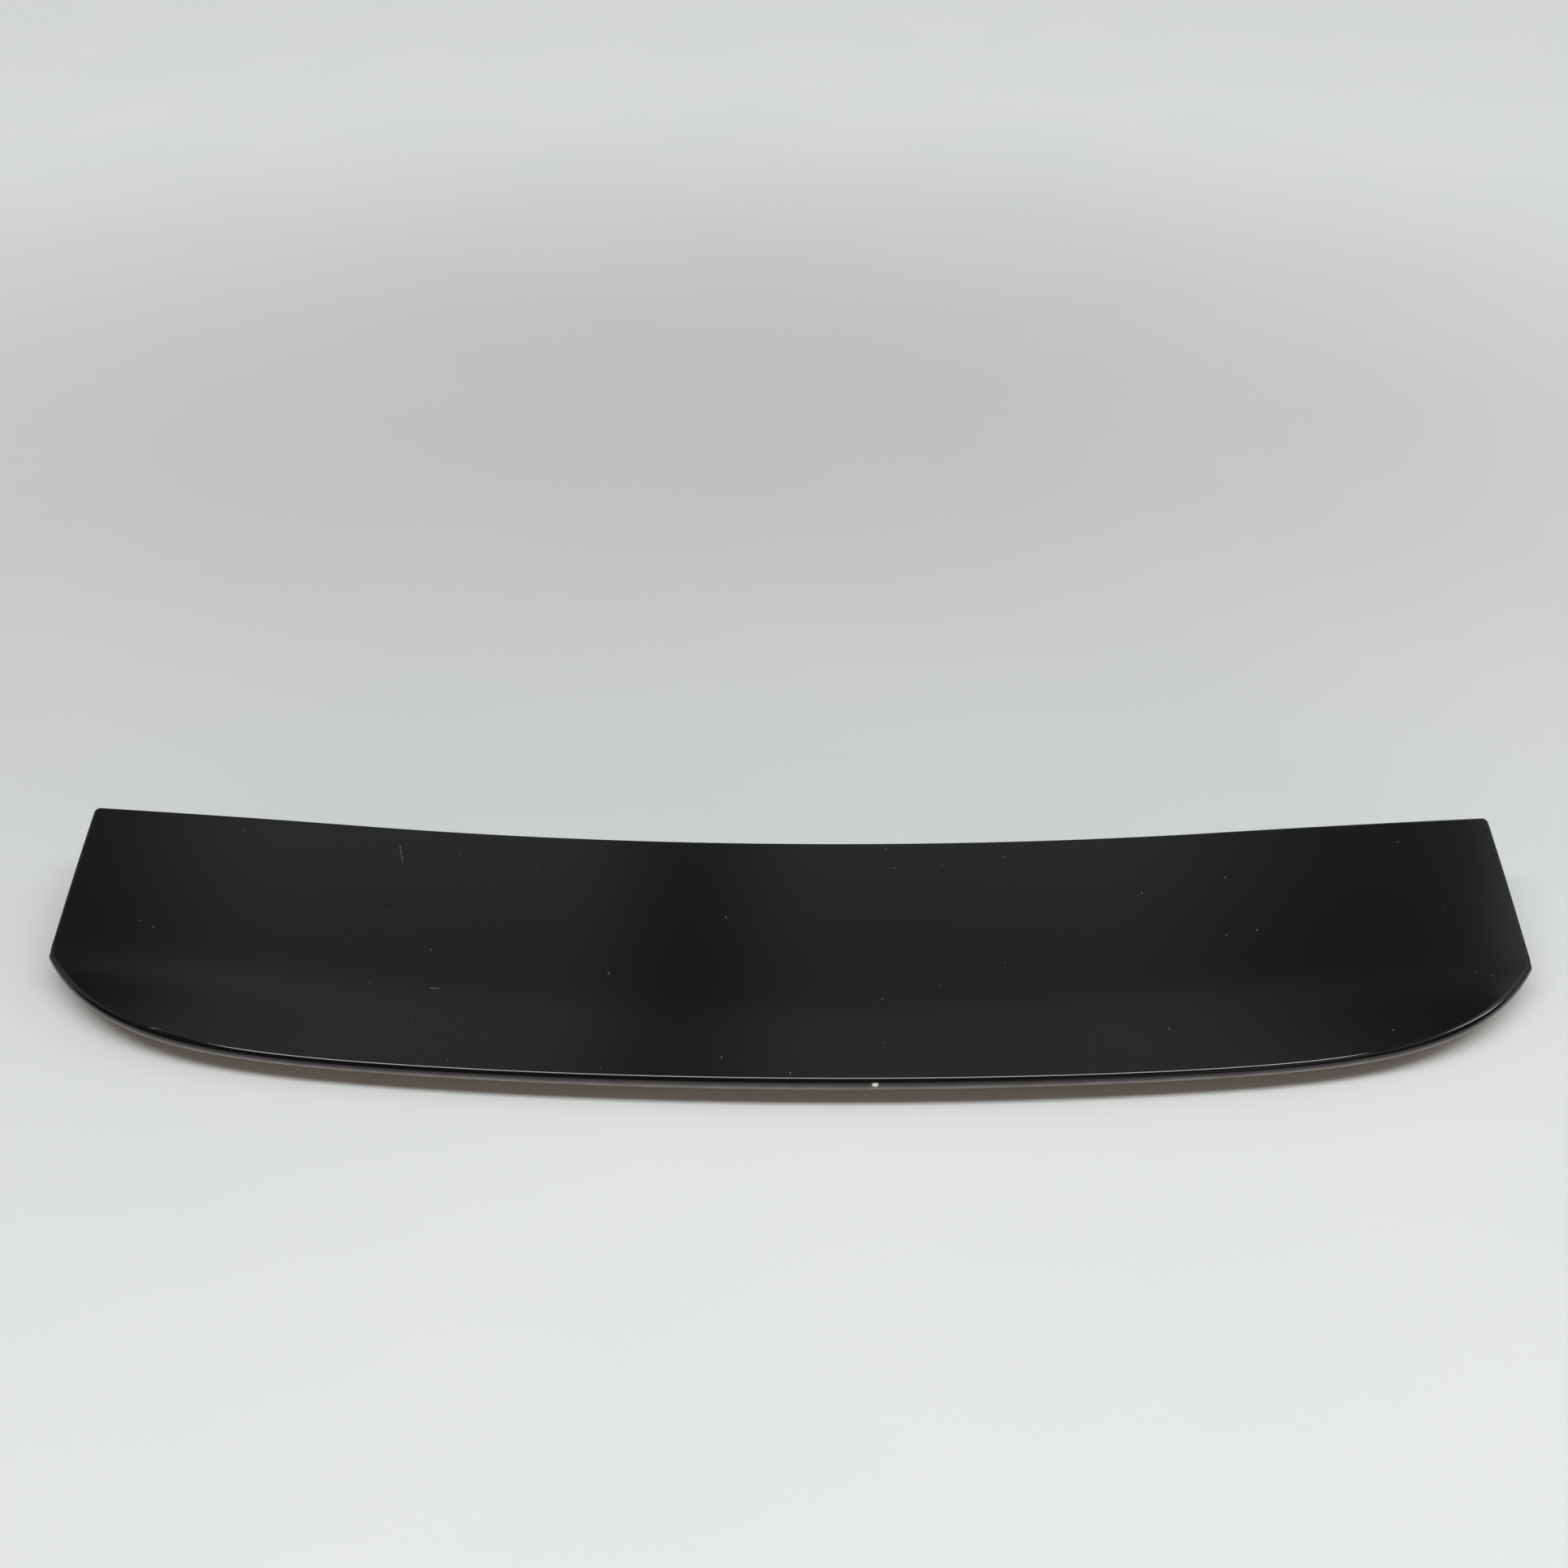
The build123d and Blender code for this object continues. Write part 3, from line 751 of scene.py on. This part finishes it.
# %% Floor
FLOOR_Z = STUD_TIP
FLOOR_HALF = 12000.0
FLOOR_TONES = ((0.66, 0.70, 0.70, 1.0), (0.71, 0.74, 0.74, 1.0))
FLOOR_CLOUD_SCALE = 3.0
FLOOR_CLOUD_DETAIL = 4.0
FLOOR_ROUGHNESS = 0.6
FLOOR_GLOW = (0.3, 3.2, 0.0, 0.64)
floor_points = np.array([(-1, -1), (1, -1), (1, 1), (-1, 1)]) * FLOOR_HALF
floor_heights = np.full(len(floor_points), FLOOR_Z)
floor_mesh = bpy.data.meshes.new("floor")
floor_mesh.from_pydata(placed(floor_points, floor_heights) * MM, [], [(0, 1, 2, 3)])
floor = bpy.data.objects.new("floor", floor_mesh)
bpy.context.scene.collection.objects.link(floor)
pale, tree, shader, place = new_material("pale_floor")
clouds = noise(tree, place, FLOOR_CLOUD_SCALE, Detail=FLOOR_CLOUD_DETAIL)
tone = mix_colour(tree, clouds, *FLOOR_TONES)
tree.links.new(tone, shader.inputs["Base Color"])
shader.inputs["Roughness"].default_value = FLOOR_ROUGHNESS
from_part = vector_math(tree, "LENGTH", place).outputs["Value"]
path = node(tree, "ShaderNodeLightPath").outputs
seen = math(tree, "MAXIMUM", path["Is Camera Ray"], path["Is Glossy Ray"])
glow = math(tree, "MULTIPLY", seen, ramp(tree, from_part, *FLOOR_GLOW))
tree.links.new(tone, shader.inputs["Emission Color"])
tree.links.new(glow, shader.inputs["Emission Strength"])
from_below = node(tree, "ShaderNodeNewGeometry").outputs["Backfacing"]
clear = node(tree, "ShaderNodeBsdfTransparent").outputs[0]
cover_inputs = {0: from_below, 1: shader.outputs[0], 2: clear}
cover = node(tree, "ShaderNodeMixShader", cover_inputs).outputs[0]
tree.links.new(cover, tree.nodes["Material Output"].inputs["Surface"])
floor_mesh.materials.append(pale)
print("floor at", FLOOR_Z, "mm")

# %% [markdown]
# ## Lamps
# A mirror-like black part shows the room more than itself. One long soft strip overhead draws the
# bright line on the lip, and a small soft lamp at the right draws the short one at the tail corner.
# Round lamps would draw dots there. Both are hidden from the camera.

# %% Area lamps
STRIP_PLACE = (0.0, -0.50, 2.0)
STRIP_SIZE = (3.1, 0.5)
STRIP_POWER = 44.0
STRIP_AIM = (0.0, -0.50, 0.0)
SIDE_PLACE = (2.3, 0.1, 1.55)
SIDE_SIZE = (0.35, 0.9)
SIDE_POWER = 6.0
SIDE_AIM = (0.0, 0.0, 0.0)


def area_lamp(name, place, aim, size, power):
    """Rectangular area lamp at a place, turned so that it shines at the aim, hidden from the camera."""
    lamp = bpy.data.lights.new(name, "AREA")
    lamp.shape = "RECTANGLE"
    lamp.size, lamp.size_y = size
    lamp.energy = power
    holder = bpy.data.objects.new(name, lamp)
    holder.location = place
    holder.rotation_euler = (Vector(aim) - Vector(place)).to_track_quat("-Z", "Y").to_euler()
    holder.visible_camera = False
    bpy.context.scene.collection.objects.link(holder)
    print("lamp:", name, size, "m")


area_lamp("overhead_strip", STRIP_PLACE, STRIP_AIM, STRIP_SIZE, STRIP_POWER)
area_lamp("side_softbox", SIDE_PLACE, SIDE_AIM, SIDE_SIZE, SIDE_POWER)

# %% [markdown]
# ## Surround
# What the flat top mirrors is the ceiling ahead of and above the part. The world draws it as soft
# levels on a flat ceiling: a direction divided by its height gives the place on that ceiling. Three
# darker bands run away from the camera, and a lighter field lies at the far right. A warm light low
# in front reaches matt surfaces alone, so that the lip keeps its black band. An image of a room would
# do as well, but these few ramps can be read and changed.

# %% Surround
LOWEST_UP = 0.04
BEHIND_CAMERA = (-0.15, 0.0, 0.04, 0.26)
OVERHEAD = (0.0, 0.35, 0.0, 0.16)
FAR_FADE = (0.45, 0.9, 1.0, 0.45)
BANDS = ((-0.66, 0.12, 0.62), (-0.09, 0.08, 0.52), (0.55, 0.17, 0.62))
BAND_SOFTNESS = 1.6
RIGHT_FIELD_START = (0.625, 0.685)
RIGHT_FIELD_END = (1.4, 1.0)
RIGHT_FIELD_LEVEL = 0.40
LOW_START = (0.03, 0.08)
LOW_END = (0.40, 0.30)
FRONT_START = (-0.2, -0.6)
DARK = (0.0, 0.0, 0.0, 1.0)
CEILING_TINT = (0.97, 1.0, 1.03, 1.0)
FRONT_COLOUR = (2.5, 1.9, 1.38, 1.0)
BACKGROUND_COLOUR = (0.70, 0.73, 0.73, 1.0)
world = bpy.data.worlds.new("studio")
bpy.context.scene.world = world
world.use_nodes = True
tree = world.node_tree
background = tree.nodes["Background"]
view_line = node(tree, "ShaderNodeTexCoord").outputs["Generated"]
direction = node(tree, "ShaderNodeSeparateXYZ", {0: view_line}).outputs
up = math(tree, "MAXIMUM", direction["Z"], LOWEST_UP)
side = math(tree, "DIVIDE", direction["X"], up)
depth = math(tree, "DIVIDE", direction["Y"], up)
level = math(tree, "ADD", ramp(tree, depth, *BEHIND_CAMERA), ramp(tree, depth, *OVERHEAD))
level = math(tree, "MULTIPLY", level, ramp(tree, depth, *FAR_FADE))
for middle, half_width, share in BANDS:
    away = math(tree, "ABSOLUTE", math(tree, "SUBTRACT", side, middle))
    band = ramp(tree, away, 0.0, half_width * BAND_SOFTNESS, 1.0 - share, 1.0)
    level = math(tree, "MULTIPLY", level, band)
field_start = ramp(tree, side, *RIGHT_FIELD_START)
field = math(tree, "MULTIPLY", field_start, ramp(tree, side, *RIGHT_FIELD_END))
level = math(tree, "ADD", level, math(tree, "MULTIPLY", field, RIGHT_FIELD_LEVEL))
low_start = ramp(tree, direction["Z"], *LOW_START)
low = math(tree, "MULTIPLY", low_start, ramp(tree, direction["Z"], *LOW_END))
front = math(tree, "MULTIPLY", low, ramp(tree, direction["Y"], *FRONT_START))
path = node(tree, "ShaderNodeLightPath").outputs
front = math(tree, "MULTIPLY", front, path["Is Diffuse Ray"])
surround = mix_colour(tree, level, DARK, CEILING_TINT)
surround = mix_colour(tree, front, surround, FRONT_COLOUR)
shown = mix_colour(tree, path["Is Camera Ray"], surround, BACKGROUND_COLOUR)
tree.links.new(shown, background.inputs["Color"])
background.inputs["Strength"].default_value = 1.0
print("surround:", world.name)

# %% [markdown]
# ## Camera
# The camera stands in front of the middle of the part and looks down on it at about 35 degrees below
# the horizon. Its place, three angles and lens were fitted to the outline of the part, so they are
# odd numbers.

# %% Camera
CAMERA_PLACE = (-0.0048, -0.9691, 0.8756)
CAMERA_TILT = np.radians(54.76)
CAMERA_YAW = np.radians(0.06)
CAMERA_ROLL = np.radians(0.394)
LENS = 37.97
SENSOR_WIDTH = 36.0
NEAREST = 0.01
camera = bpy.data.cameras.new("camera")
camera.lens = LENS
camera.sensor_width = SENSOR_WIDTH
camera.clip_start = NEAREST
camera_object = bpy.data.objects.new("camera", camera)
yaw = Matrix.Rotation(CAMERA_YAW, 4, "Z")
tilt = Matrix.Rotation(CAMERA_TILT, 4, "X")
roll = Matrix.Rotation(CAMERA_ROLL, 4, "Z")
camera_object.matrix_world = Matrix.Translation(Vector(CAMERA_PLACE)) @ yaw @ tilt @ roll
bpy.context.scene.collection.objects.link(camera_object)
bpy.context.scene.camera = camera_object
bpy.context.scene.view_settings.view_transform = "Standard"
print("camera at", CAMERA_PLACE)
